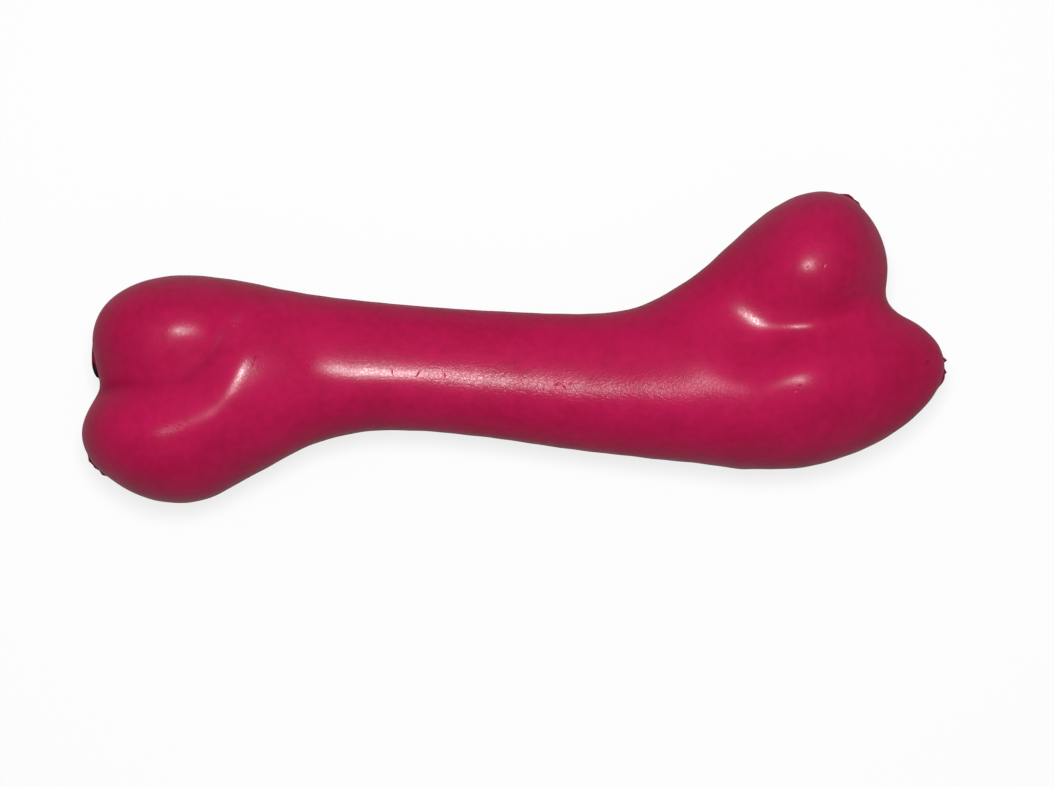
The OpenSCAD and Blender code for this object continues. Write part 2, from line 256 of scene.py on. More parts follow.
# Torn remains of the flash on three lobe tips, and in the left notch a fin that carries the notch's
# painted shadow: places on the outline in mm, and how far they stand out. TORN_THICK is how much
# thicker the root is for each mm of that
TORN_THICK = 0.6
TORN = {
    "right_tip": [
        [74.3, 0.6, 0], [74.6, -1.6, 0.1], [74.8, -2.2, 0.65], [74.8, -2.6, 0.1],
        [74.8, -3.7, 0.12], [74.8, -4.2, 0.6], [74.8, -4.6, 0.35], [74.8, -5.3, 0.45],
        [74.6, -6.2, 0.4], [74.2, -6.9, 0.12], [73.4, -8.0, 0],
    ],
    "upper_right_lobe": [
        [54.8, 26.9, 0], [56.0, 26.5, 0.03], [56.9, 26.4, 0.28], [57.7, 26.2, 0.6],
        [58.4, 25.7, 0.5], [59.0, 25.3, 0.35], [59.5, 24.6, 0.45], [60.2, 24.0, 0.1],
        [61.2, 23.0, 0],
    ],
    "lower_left_lobe": [
        [-74.6, -17.6, 0], [-74.2, -18.9, 0.25], [-73.8, -19.9, 0.6], [-73.2, -20.4, 0.4],
        [-72.6, -20.8, 0.5], [-72.0, -21.3, 0.25], [-71.4, -22.2, 0.5], [-70.8, -22.6, 0.1],
        [-69.8, -23.2, 0],
    ],
    # This fin stands where the notch is in shade, and is painted near-black as that shadow
    "left_notch": [
        [-73.7, 1.6, 0], [-73.5, 0, 0.25], [-73.2, -1.4, 0.5], [-72.9, -2.7, 0.75],
        [-72.7, -3.7, 0.8], [-72.5, -4.4, 0.7], [-72.3, -5.0, 0.5], [-72.1, -5.5, 0],
    ],
}


# Finishes

# Settings that several nodes share
PRODUCT = {"operation": "MULTIPLY"}
SUM = {"operation": "ADD"}
PRODUCT_SUM = {"operation": "MULTIPLY_ADD"}
LARGEST = {"operation": "MAXIMUM"}
SMOOTH = {"interpolation_type": "SMOOTHSTEP"}
COLOURS = {"data_type": "RGBA"}


def linear(hex_colour):
    """Linear RGBA of an sRGB colour written as hex."""
    value = [int(hex_colour[i:i + 2], 16) / 255 for i in (1, 3, 5)]
    return [v / 12.92 if v <= 0.04045 else ((v + 0.055) / 1.055) ** 2.4 for v in value] + [1.0]


def per_mm(size):
    """Scale at which a texture's lumps are about that many mm across."""
    return 1 / (size * MM)


def add(tree, kind, settings=None, inputs=None):
    """One node: its settings by name, and its sockets by name or number. A socket is given a value,
    another socket, or a node, which stands for its first output."""
    node = tree.nodes.new(kind)
    for name, value in (settings or {}).items():
        setattr(node, name, value)
    for name, value in (inputs or {}).items():
        if isinstance(value, bpy.types.Node):
            value = value.outputs[0]
        if isinstance(value, bpy.types.NodeSocket):
            tree.links.new(value, node.inputs[name])
        else:
            node.inputs[name].default_value = value
    return node


def material(name):
    """An empty material with its tree and its output node."""
    made = bpy.data.materials.new(name)
    made.use_nodes = True
    made.node_tree.nodes.clear()
    return made, made.node_tree, made.node_tree.nodes.new("ShaderNodeOutputMaterial")


def moulded_rubber():
    """Glossy moulded rubber, dyed deep pink. It is compression moulded, so its skin is a fine
    orange peel under a thin film of bloom, drawn lengthwise near the waist and crazed on the
    shaft's crown."""
    made, tree, out = material("moulded_rubber")
    place = add(tree, "ShaderNodeTexCoord").outputs["Object"]
    along = add(tree, "ShaderNodeSeparateXYZ", {}, {"Vector": place}).outputs["X"]
    polish, crown, crease_shade, shadow_and_darkening = [
        add(tree, "ShaderNodeAttribute", {"attribute_name": name}).outputs["Fac"]
        for name in ("polish", "crown", "crease_shade", "shadow_and_darkening")]
    # Noise for each part of the finish: how many mm its lumps are across, its detail and roughness
    clouds, mottle, peel, lumps, wear, bloom = [
        add(tree, "ShaderNodeTexNoise", {}, {
            "Vector": place, "Scale": per_mm(size), "Detail": detail, "Roughness": rough})
        for size, detail, rough in (
            (9, 3, 0.5), (1.6, 3, 0.6), (0.5, 3, 0.6), (0.6, 3, 0.7), (0.35, 2, 0.5), (3, 3, 0.5))]

    # Dye that didn't mix quite evenly, half clouds and half mottling
    dye = add(tree, "ShaderNodeMath", SUM, {0: clouds, 1: mottle})
    shade = add(tree, "ShaderNodeMath", PRODUCT, {0: dye, 1: 0.5})
    tint = add(tree, "ShaderNodeValToRGB", {}, {"Fac": shade})
    stops = tint.color_ramp.elements
    stops[0].position, stops[0].color = 0.38, linear("#ae1446")
    stops[1].position, stops[1].color = 0.62, linear("#bd1750")
    # Painted shade darkens the crease a little, and painted shadow blackens the notch; the flash and
    # the bottom of one pit are painted darker too. Sockets 6 and 7 of a mix are its two colours, and
    # its output 2 is their blend
    shade_share = add(tree, "ShaderNodeMath", PRODUCT, {0: crease_shade, 1: 0.22})
    crease_shaded = add(tree, "ShaderNodeMix", COLOURS, {0: shade_share, 6: tint, 7: linear("#5a1028")})
    colour = add(tree, "ShaderNodeMix", COLOURS, {
        0: shadow_and_darkening, 6: crease_shaded.outputs[2], 7: linear("#14090c")}).outputs[2]

    # Where along the bone, in mm, the crazing and the drag lines come in and go out: each row is
    # the two ends of a smooth step and what it starts from
    craze_in, craze_out, drag_in, drag_out = [
        add(tree, "ShaderNodeMapRange", SMOOTH, {
            "Value": along, "From Min": low * MM, "From Max": high * MM,
            "To Min": first, "To Max": 1 - first})
        for low, high, first in ((-24, -6, 0), (28, 46, 1), (-34, -24, 0), (-8, 8, 1))]
    crazed = add(tree, "ShaderNodeMath", PRODUCT, {0: craze_in, 1: craze_out})
    crazed = add(tree, "ShaderNodeMath", PRODUCT, {0: crazed, 1: crown})
    drawn = add(tree, "ShaderNodeMath", PRODUCT, {0: drag_in, 1: drag_out})

    # Crazing: a net of cracks about 1 mm apart, bent by up to 0.6 mm, over lumps
    warp = add(tree, "ShaderNodeTexNoise", {}, {"Vector": place, "Scale": per_mm(1), "Detail": 2.0})
    bent = add(tree, "ShaderNodeVectorMath", PRODUCT_SUM, {
        0: warp.outputs["Color"], 1: (0.6 * MM,) * 3, 2: place})
    net = add(tree, "ShaderNodeTexVoronoi", {"feature": "DISTANCE_TO_EDGE"}, {
        "Vector": bent, "Scale": per_mm(1)})
    plates = add(tree, "ShaderNodeMapRange", SMOOTH, {
        "Value": net.outputs["Distance"], "From Min": 0.0, "From Max": 0.14})
    plates = add(tree, "ShaderNodeMath", PRODUCT, {0: plates, 1: 0.014 * MM})
    craze = add(tree, "ShaderNodeMath", PRODUCT_SUM, {0: lumps, 1: 0.045 * MM, 2: plates})
    # Lengthwise drag lines, 0.35 mm apart and some 8 mm long, leaning with the shaft
    lean = add(tree, "ShaderNodeMapping", {}, {
        "Vector": place, "Rotation": (0, 0, 0.13),
        "Scale": (per_mm(8), per_mm(0.35), per_mm(0.35))})
    lines = add(tree, "ShaderNodeTexNoise", {}, {"Vector": lean, "Scale": 1.0, "Detail": 2.0})
    drag = add(tree, "ShaderNodeMath", PRODUCT, {0: lines, 1: 0.012 * MM})
    # The height of the skin: orange peel everywhere, then the crazing and the drag lines
    height = add(tree, "ShaderNodeMath", PRODUCT, {0: peel, 1: 0.020 * MM})
    height = add(tree, "ShaderNodeMath", PRODUCT_SUM, {0: craze, 1: crazed, 2: height})
    height = add(tree, "ShaderNodeMath", PRODUCT_SUM, {0: drag, 1: drawn, 2: height})
    # The small marks, each a cone or a pit with an oval outline, the same at every level of z
    for x, y, length, width, turn, rise in MARKS:
        cone = add(tree, "ShaderNodeTexGradient", {"gradient_type": "SPHERICAL"}, {"Vector": place})
        oval = cone.texture_mapping
        oval.vector_type = "TEXTURE"
        oval.translation = x * MM, y * MM, 0
        oval.rotation = 0, 0, np.radians(turn)
        oval.scale = length * MM, width * MM, 1
        height = add(tree, "ShaderNodeMath", PRODUCT_SUM, {
            0: cone.outputs["Fac"], 1: rise * MM, 2: height})
    bump = add(tree, "ShaderNodeBump", {}, {"Height": height, "Distance": 1.0, "Strength": 1.0})

    # The rubber itself is dull. Its gloss is a thin film of bloom that covers part of it: more in
    # specks and where it was rubbed, and none in the crease, where shade is painted
    specks = add(tree, "ShaderNodeMapRange", SMOOTH, {
        "Value": wear, "From Min": 0.50, "From Max": 0.66, "To Min": 0.09, "To Max": 0.20})
    film = add(tree, "ShaderNodeMath", {**PRODUCT_SUM, "use_clamp": True}, {
        0: polish, 1: specks, 2: 0.048})
    clean = add(tree, "ShaderNodeMath", {"operation": "SUBTRACT"}, {0: 1.0, 1: crease_shade})
    skin = add(tree, "ShaderNodeBsdfPrincipled", {}, {
        "Base Color": colour,
        "Normal": bump,
        "IOR": 1.09,
        "Roughness": add(tree, "ShaderNodeMath", PRODUCT_SUM, {0: bloom, 1: 0.12, 2: 0.42}),
        "Coat Weight": add(tree, "ShaderNodeMath", PRODUCT, {0: film, 1: clean}),
        "Coat Roughness": 0.32,
        "Coat IOR": 2.5,
        "Coat Normal": bump})
    tree.links.new(skin.outputs[0], out.inputs["Surface"])
    return made


def moulded_plastic(name, colour, roughness):
    """Injection moulded polyethylene: waxy, a little cloudy, with a fine spark-eroded grain."""
    made, tree, out = material(name)
    place = add(tree, "ShaderNodeTexCoord").outputs["Object"]
    grain, haze = [
        add(tree, "ShaderNodeTexNoise", {}, {"Vector": place, "Scale": per_mm(size)})
        for size in (0.25, 2.5)]
    bump = add(tree, "ShaderNodeBump", {}, {"Height": grain, "Distance": 0.01 * MM})
    skin = add(tree, "ShaderNodeBsdfPrincipled", {}, {
        "Base Color": linear(colour),
        "Normal": bump,
        "Roughness": add(tree, "ShaderNodeMath", PRODUCT_SUM, {0: haze, 1: 0.1, 2: roughness}),
        "IOR": 1.51,
        "Subsurface Weight": 0.15,
        "Subsurface Radius": (1 * MM, 1 * MM, 0.8 * MM),
        "Subsurface Scale": 1.0})
    tree.links.new(skin.outputs[0], out.inputs["Surface"])
    return made


def give(piece, finish):
    """Puts one finish on every material slot of a piece."""
    piece.data.materials.clear()
    piece.data.materials.append(finish)


# The bone's form, as gaps: the distance from a point to a form, negative inside it. z is measured
# from the parting plane

def melt(a, b, width):
    """Union of two gaps, melted over a width."""
    return np.minimum(a, b) - (np.maximum(width - np.abs(a - b), 0) / width) ** 3 * width / 6


def ease(t):
    """Smooth step from 0 to 1."""
    return t * t * (3 - 2 * t)


def egg_gap(points, egg):
    """Gap to a level ellipsoid: its scaled radius less 1, divided by the slope of that radius."""
    x, y, length, width, height, turn = egg
    c, s = np.cos(np.radians(turn)), np.sin(np.radians(turn))
    half = np.array([length * KNOB_R, width * KNOB_R, height * KNOB_H])
    off = points - [x * BONE[0], y * BONE[1], 0]
    turned = [c * off[:, 0] + s * off[:, 1], c * off[:, 1] - s * off[:, 0], off[:, 2]]
    q = np.stack(turned, 1) / half
    k = np.linalg.norm(q, axis=1)
    return (k - 1) * k / np.maximum(np.linalg.norm(q / half, axis=1), 1e-6)


def station(x, column):
    """A column of the shaft's table at x, on a smooth curve through its rows that ends level."""
    xs = SHAFT_SHARES[:, 0]
    values = SHAFT_SHARES[:, column]
    slope = np.zeros(len(xs))
    slope[1:-1] = (values[2:] - values[:-2]) / (xs[2:] - xs[:-2])
    i = np.clip(np.searchsorted(xs, x, side="right") - 1, 0, len(xs) - 2)
    width = xs[i + 1] - xs[i]
    t = np.clip((x - xs[i]) / width, 0, 1)
    bend = t * (1 - t) * width * ((1 - t) * slope[i] - t * slope[i + 1])
    return values[i] + (values[i + 1] - values[i]) * ease(t) + bend


def shaft_gap(points):
    """Gap to the shaft, a tube of varying radius about a gently bent middle line."""
    x = points[:, 0] / BONE[0]
    middle = station(x, 1) * BONE[1]
    radius = station(x, 2) * WAIST_R
    height = station(x, 3) * WAIST_H
    past = np.maximum(np.maximum(SHAFT_SHARES[0, 0] - x, x - SHAFT_SHARES[-1, 0]), 0) * BONE[0]
    side = points[:, 1] - middle
    rise = points[:, 2] * radius / height
    return np.sqrt(past ** 2 + side ** 2 + rise ** 2) - radius


def bone_gap(points):
    """Gap to the bone before the relief is pressed into it."""
    lobes = melt(egg_gap(points, BALL_LEFT), egg_gap(points, LOBE_LEFT), KNOB_BLEND)
    left = melt(lobes, egg_gap(points, NECK_LEFT), KNOB_BLEND)
    shaft = melt(shaft_gap(points), left, SHAFT_BLEND)
    right = melt(egg_gap(points, LOBE_RIGHT), egg_gap(points, TIP_RIGHT), TIP_BLEND)
    arm = melt(egg_gap(points, BALL_RIGHT), egg_gap(points, ARM_RIGHT), TIP_BLEND)
    return melt(melt(shaft, right, TIP_BLEND), arm, ARM_BLEND)


def smooth_line(rows, steps=12):
    """A curve through the rows of a table, with steps to each stretch: a Catmull-Rom spline."""
    rows = np.array(rows, float)
    rows = np.vstack([2 * rows[0] - rows[1], rows, 2 * rows[-1] - rows[-2]])
    t = (np.arange(steps) / steps)[:, None]
    stretches = []
    for a, b, c, d in zip(rows, rows[1:], rows[2:], rows[3:]):
        stretches.append((2 * b + (c - a) * t + (2 * a - 5 * b + 4 * c - d) * t ** 2
                          + (3 * b - a - 3 * c + d) * t ** 3) / 2)
    return np.vstack([*stretches, rows[-2:-1]])


def off_line(points, a, b):
    """Distance in plan from each point to the line from a to b, and its share along that line."""
    run = np.subtract(b, a)
    side = points[:, :2] - a
    t = np.clip(side @ run / (run @ run), 0, 1)
    return np.linalg.norm(side - t[:, None] * run, axis=1), t


def crease_near(points):
    """How near each point lies to the crease: its share on the line, 0 past its half width."""
    near = np.zeros(len(points))
    line = smooth_line(CREASE)
    for a, b in zip(line, line[1:]):
        off, t = off_line(points, a[:2] * BONE, b[:2] * BONE)
        q = np.minimum((np.hypot(off, CREASE_ROUND) - CREASE_ROUND) / CREASE_W, 1)
        near = np.maximum(near, (a[2] + (b[2] - a[2]) * t) * (1 - q) ** 2)
    return near


def mounds(points, rows, width):
    """Height of a row of soft mounds, as a share of the full height: bells about their places."""
    total = np.zeros(len(points))
    for x, y, height, share in rows:
        off = np.linalg.norm(points[:, :2] - np.array([x, y]) * BONE, axis=1)
        total += height * np.exp(-(off / (share * width)) ** 2)
    return total


def relief(points):
    """Depth of the moulded relief under the bone's plain form."""
    depth = -SCAR_HEIGHT * mounds(points, SCARS, SCAR_W)
    left = points[:, 0] < 0
    crease = CREASE_DEPTH * crease_near(points[left])
    depth[left] += crease - RIM_HEIGHT * mounds(points[left], RIM, RIM_W)
    depth[~left] += VALLEY_DEPTH * mounds(points[~left], VALLEY, VALLEY_W)
    return depth


def crown_lean(points):
    """Depth that leans the shaft's crown over towards -Y, between two places along the bone: the
    slope of a bell about its middle line."""
    x = points[:, 0]
    off = (points[:, 1] - station(x / BONE[0], 1) * BONE[1]) / LEAN_W
    begins = ease(np.clip((x - LEAN_FROM) / LEAN_RAMP, 0, 1))
    ends = ease(np.clip((LEAN_TO - x) / LEAN_RAMP, 0, 1))
    return LEAN_DEPTH * (begins * ends) * off * np.exp(-off ** 2)


def swell(points):
    """Depth of the slow unevenness: the product of two crossing sine waves 10 and 11 mm long, and a
    third 7.5 mm long."""
    x, y = points[:, 0], points[:, 1]
    waves = np.sin(x / 2.1 + y / 3.0) * np.sin(y / 1.7 - x / 5.0) + np.sin(x / 3.1 - y / 1.3)
    return SWELL_HEIGHT * waves


def dents(points):
    """Depth of the upper skin's own unevenness: the swell, the leaning crown and bells for dents."""
    depth = swell(points) + crown_lean(points)
    for x, y, deep, radius in DENTS:
        off = np.linalg.norm(points[:, :2] - [x, y], axis=1)
        depth += deep * np.exp(-(off / radius) ** 2)
    return depth


def lip(points):
    """Depth to which the lower skin rounds into the squeaker's bore: a parabola across the lip."""
    off = np.linalg.norm(points[:, :2] - squeaker[:2], axis=1)
    return LIP_DEPTH * np.clip((BARREL_R + LIP_W - off) / LIP_W, 0, 1) ** 2


def upper_gap(points):
    """Gap to the upper outer skin."""
    return bone_gap(points) + relief(points) + dents(points) + INSET


def lower_gap(points):
    """Gap to the lower outer skin."""
    return bone_gap(points) + relief(points) + swell(-points) + lip(points) + INSET


def inner_gap(points):
    """Gap to the inner skin, which lies a wall deeper and follows the relief."""
    return bone_gap(points) + relief(points) + WALL


# Skins: rays from a middle line meet the form, on a grid of rings along the bone and columns round
# it. HALVINGS is how often a ray's length is halved, and ROUGH how many rays first measure a ring
HALVINGS = 12
ROUGH = 60
# Edges that are sharper than this, in degrees, aren't shaded smooth
SHARP = 40


def cast(starts, ways, gap):
    """Where each ray from starts along ways leaves the form: halvings, then a step by the slope."""
    low = np.zeros(len(starts))
    high = np.full(len(starts), RAY_L)
    for _ in range(HALVINGS):
        middle = (low + high) / 2
        inside = gap(starts + middle[:, None] * ways) < 0
        low = np.where(inside, middle, low)
        high = np.where(inside, high, middle)
    gap_low = gap(starts + low[:, None] * ways)
    gap_high = gap(starts + high[:, None] * ways)
    reach = low - gap_low * (high - low) / (gap_high - gap_low)
    return starts + reach[:, None] * ways


def rays(turn, end_rings, shaft_rings):
    """Start and way of each ray: turn[ring, column] is its angle round the bone, from +Y over the
    top. Rings stand square to the bone along the shaft and lean over to a pole at each end."""
    ring = np.arange(2 * end_rings + shaft_rings + 1)
    share = np.clip((ring - end_rings) / shaft_rings, 0, 1)[:, None]
    middle = (LEFT_MIDDLE + (RIGHT_MIDDLE - LEFT_MIDDLE) * share) * BONE
    past_left = np.minimum(ring / end_rings - 1, 0)
    past_right = np.maximum((ring - end_rings - shaft_rings) / end_rings, 0)
    lean = ((past_left + past_right) * np.pi / 2)[:, None]
    way = np.stack([
        np.sin(lean) * np.ones_like(turn),
        np.cos(lean) * np.cos(turn),
        np.cos(lean) * np.sin(turn),
    ], -1)
    start = np.zeros_like(way)
    start[..., :2] = middle[:, None, :]
    return start, way


def skin(gap, end_rings, shaft_rings, columns):
    """Points of one skin of the upper half, [ring, column, xyz]. The columns of a ring are spread
    evenly over its length, which is measured first on a plain fan of rays."""
    rings = 2 * end_rings + shaft_rings + 1
    turn = np.tile(np.linspace(0, np.pi, ROUGH + 1), (rings, 1))
    start, way = rays(turn, end_rings, shaft_rings)
    points = cast(start.reshape(-1, 3), way.reshape(-1, 3), bone_gap).reshape(way.shape)
    run = np.linalg.norm(np.diff(points, axis=1), axis=2)
    run = np.concatenate([np.zeros((rings, 1)), np.cumsum(run, axis=1)], 1)
    # At a pole the ring has no length, so its columns are spread by angle
    run[[0, -1]] = np.linspace(0, 1, ROUGH + 1)
    share = np.linspace(0, 1, columns + 1)
    even = np.stack([np.interp(share * r[-1], r, t) for r, t in zip(run, turn)])
    start, way = rays(even, end_rings, shaft_rings)
    points = cast(start.reshape(-1, 3), way.reshape(-1, 3), gap).reshape(way.shape)
    points[:, [0, -1], 2] = 0
    points[[0, -1], :, 2] = 0
    return points


def grid_faces(rings, columns, first=0):
    """Faces of a grid of rings whose first and last ring are one point each."""
    body = np.arange((rings - 2) * columns).reshape(rings - 2, columns) + first + 1
    a, b = body[:-1, :-1], body[1:, :-1]
    c, d = body[1:, 1:], body[:-1, 1:]
    faces = np.stack([a, b, c, d], -1).reshape(-1, 4).tolist()
    last = first + 1 + (rings - 2) * columns
    faces += [[first, body[0, j], body[0, j + 1]] for j in range(columns - 1)]
    faces += [[last, body[-1, j + 1], body[-1, j]] for j in range(columns - 1)]
    return faces


def flat_grid(points):
    """Vertices of a grid of rings, with the first and the last ring as one point each."""
    return np.concatenate([points[0, :1], points[1:-1].reshape(-1, 3), points[-1, :1]])


def edge(rings, columns, column, first=0):
    """Numbers of the points along one edge of a grid, from pole to pole."""
    middle = first + 1 + np.arange(rings - 2) * columns + column
    return np.concatenate([[first], middle, [first + 1 + (rings - 2) * columns]])


def rim_faces(outer, inner):
    """Faces of the parting plane along one side, with several outer steps to each inner step."""
    step = (len(outer) - 1) // (len(inner) - 1)
    faces = []
    for k in range(len(inner) - 1):
        fan = list(outer[k * step:(k + 1) * step + 1])
        faces += [[inner[k], fan[i + 1], fan[i]] for i in range(step // 2)]
        faces.append([inner[k], inner[k + 1], fan[step // 2]])
        faces += [[inner[k + 1], fan[i + 1], fan[i]] for i in range(step // 2, step)]
    return faces


def half_shell(gap, end_rings=120, shaft_rings=240, columns=160, coarse=4):
    """Closed shell of the half above the parting plane, which lies at z = 0: points, faces and the
    outline from its left pole along +Y to its right pole and back along -Y."""
    outer = skin(gap, end_rings, shaft_rings, columns)
    inner = skin(inner_gap, end_rings // coarse, shaft_rings // coarse, columns // coarse)
    rings, inner_rings = len(outer), len(inner)
    inner_columns = columns // coarse + 1
    points = flat_grid(outer)
    first = len(points)
    points = np.concatenate([points, flat_grid(inner)])
    faces = grid_faces(rings, columns + 1)
    faces += [f[::-1] for f in grid_faces(inner_rings, inner_columns, first)]
    near = rim_faces(edge(rings, columns + 1, 0), edge(inner_rings, inner_columns, 0, first))
    far = rim_faces(
        edge(rings, columns + 1, columns),
        edge(inner_rings, inner_columns, inner_columns - 1, first))
    faces += near + [f[::-1] for f in far]
    outline = np.concatenate([outer[:, 0, :2], outer[-2:0:-1, -1, :2]])
    return points, faces, outline


def make(name, points, faces):
    """A smooth mesh object at the origin, from points in mm, with its sharp edges marked."""
    mesh = bpy.data.meshes.new(name)
    mesh.from_pydata((np.asarray(points) * MM).tolist(), [], faces)
    mesh.polygons.foreach_set("use_smooth", [True] * len(mesh.polygons))
    mesh.set_sharp_from_angle(angle=np.radians(SHARP))
    mesh.update()
    piece = bpy.data.objects.new(name, mesh)
    bpy.context.scene.collection.objects.link(piece)
    return piece


def rounded(corners, cut, steps=4):
    """A closed outline whose corners are rounded: each is a parabola that starts a length cut
    before the corner and ends as far past it."""
    corners = np.array(corners, float)
    back = np.roll(corners, 1, axis=0) - corners
    ahead = np.roll(corners, -1, axis=0) - corners
    start = (corners + back / np.linalg.norm(back, axis=1)[:, None] * cut)[:, None]
    end = (corners + ahead / np.linalg.norm(ahead, axis=1)[:, None] * cut)[:, None]
    t = np.linspace(0, 1, steps + 1)[None, :, None]
    curve = (1 - t) ** 2 * start + 2 * t * (1 - t) * corners[:, None] + t ** 2 * end
    return curve.reshape(-1, 2)


def ring_solid(name, profile, centre, steps=96):
    """A solid of revolution about a vertical axis: a closed outline of radius and height, turned
    anticlockwise in the radius and height plane, is carried round a circle."""
    turn = np.arange(steps) / steps * 2 * np.pi
    radius, height = profile[:, 0], profile[:, 1]
    points = np.stack([
        centre[0] + np.cos(turn)[:, None] * radius,
        centre[1] + np.sin(turn)[:, None] * radius,
        centre[2] + height + np.zeros((steps, 1)),
    ], -1)
    number = np.arange(steps * len(profile)).reshape(steps, len(profile))
    after, ahead = np.roll(number, -1, axis=0), np.roll(number, -1, axis=1)
    faces = np.stack([number, after, np.roll(after, -1, axis=1), ahead], -1).reshape(-1, 4)
    return make(name, points.reshape(-1, 3), faces.tolist())


def cut(piece, operation, tool):
    """Joins a tool to a piece or cuts it out of the piece, and deletes the tool."""
    step = piece.modifiers.new(operation.lower(), "BOOLEAN")
    step.operation = operation
    step.solver = "MANIFOLD"
    step.object = tool
    shown = piece.evaluated_get(bpy.context.evaluated_depsgraph_get())
    mesh = bpy.data.meshes.new_from_object(shown)
    piece.modifiers.clear()
    piece.data = mesh
    bpy.data.objects.remove(tool)


def flash_fin(outline):
    """Flash round the whole parting line: a thin fin whose height varies along the outline as three
    waves, with the torn remains on three lobe tips, and in the left notch a fin standing further out
    that carries the notch's painted shadow. Each of its sections has a root inside the rubber and a
    thin tip, and stands square to the line from the third point before it to the third point after
    it."""
    keep = np.linalg.norm(np.roll(outline, -1, axis=0) - outline, axis=1) > 0.02
    outline = outline[keep]
    way = np.roll(outline, -3, axis=0) - np.roll(outline, 3, axis=0)
    way /= np.linalg.norm(way, axis=1)[:, None]
    out = np.stack([-way[:, 1], way[:, 0]], 1)
    run = np.concatenate([[0], np.cumsum(np.linalg.norm(np.diff(outline, axis=0), axis=1))])
    wave = np.sin(run / 1.9) + np.sin(run / 0.83 + 1) + np.sin(run / 4.7 + 2)
    height = FLASH_H * (0.6 + 0.13 * wave)
    thick = np.full(len(outline), FLASH_ROOT)
    for rows in TORN.values():
        rows = np.array(rows)
        places = run[[np.linalg.norm(outline - row[:2], axis=1).argmin() for row in rows]]
        order = np.argsort(places)
        torn = np.interp(run, places[order], rows[order, 2], left=0, right=0)
        height = np.maximum(height, torn)
        thick = np.maximum(thick, FLASH_ROOT + TORN_THICK * torn)
    half = np.array(FLASH_SECTION)
    section = np.concatenate([half, half[::-1] * [1, -1]])
    reach = height[:, None] * section[:, 0]
    lift = thick[:, None] * section[:, 1]
    rings = np.concatenate([
        outline[:, None] + reach[..., None] * out[:, None],
        (PART_Z + lift)[..., None],
    ], -1)
    root = np.concatenate([
        outline[:, None] - FLASH_SINK * out[:, None] + np.zeros((1, 2, 1)),
        (PART_Z + thick[:, None] * [-1.0, 1.0])[..., None],
    ], -1)
    rings = np.concatenate([rings, root], 1)
    number = np.arange(rings.shape[0] * rings.shape[1]).reshape(rings.shape[:2])
    after = np.roll(number, -1, axis=0)
    faces = np.stack([number, after, np.roll(after, -1, axis=1), np.roll(number, -1, axis=1)], -1)
    return rings.reshape(-1, 3), faces.reshape(-1, 4).tolist()


def paint(piece, name, amount):
    """Writes one value at each point of a piece, which its finish reads by name."""
    layer = piece.data.attributes.new(name, "FLOAT", "POINT")
    layer.data.foreach_set("value", np.broadcast_to(amount, len(piece.data.vertices)))


def notch_shadow(points):
    """Share of painted shadow in the left notch: whole near its line and the parting line, and
    falling off evenly past that."""
    off = np.min([off_line(points, a, b)[0] for a, b in zip(NOTCH_SHADOW_LINE, NOTCH_SHADOW_LINE[1:])], axis=0)
    rise = np.abs(points[:, 2] - PART_Z)
    side = np.clip((NOTCH_SHADOW_W + NOTCH_SHADOW_FADE - off) / NOTCH_SHADOW_FADE, 0, 1)
    return side * np.clip((NOTCH_SHADOW_RISE + NOTCH_SHADOW_RISE_FADE - rise) / NOTCH_SHADOW_RISE_FADE, 0, 1)


def wear_and_shade(piece):
    """Gives a skin its wear and its painted shade as a value at each point: polish, bells about the
    rubbed places; the crown of the shaft, where it is crazed; the painted shade in the crease; and
    the painted shadow at the left notch, with the darkened bottom of a pit."""
    points = np.empty(len(piece.data.vertices) * 3)
    piece.data.vertices.foreach_get("co", points)
    points = points.reshape(-1, 3) / MM
    polish = np.zeros(len(points))
    for x, y, amount, radius in POLISH:
        off = np.linalg.norm(points[:, :2] - [x, y], axis=1)
        polish += amount * np.exp(-(off / radius) ** 2)
    middle = station(points[:, 0] / BONE[0], 1) * BONE[1] + CROWN_SIDE
    crown = np.exp(-((points[:, 1] - middle) / CROWN_W) ** 2)
    line = smooth_line(CREASE) * [*BONE, 1]
    off = np.min([off_line(points, a[:2], b[:2])[0] for a, b in zip(line, line[1:])], axis=0)
    # Painted shade along the crease line, fading where the crease is shallow
    crease_shade = np.exp(-(off / CREASE_SHADE_W) ** 2) * np.clip(2 * crease_near(points), 0, 1)
    pit = np.linalg.norm(points[:, :2] - PIT, axis=1)
    # Painted shadow at the left notch, and a darker bottom in one pit
    shadow_and_darkening = np.maximum(notch_shadow(points), np.clip(1.5 - pit / PIT_R, 0, PIT_DARK))
    for name, amount in {"polish": polish, "crown": crown, "crease_shade": crease_shade, "shadow_and_darkening": shadow_and_darkening}.items():
        paint(piece, name, amount)


# Pieces

squeaker = np.array([SQUEAKER_SHARE * BONE[0], station(SQUEAKER_SHARE, 1) * BONE[1], 0])
skin_z = PART_Z - station(SQUEAKER_SHARE, 3) * WAIST_H
foot = squeaker + [0, 0, skin_z + BARREL_SINK]

rubber = moulded_rubber()

points, faces, outline = half_shell(upper_gap)
upper_skin = make("upper_skin", points + [0, 0, PART_Z], faces)
wear_and_shade(upper_skin)
give(upper_skin, rubber)
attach(upper_skin, "bone")
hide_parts("upper_half")

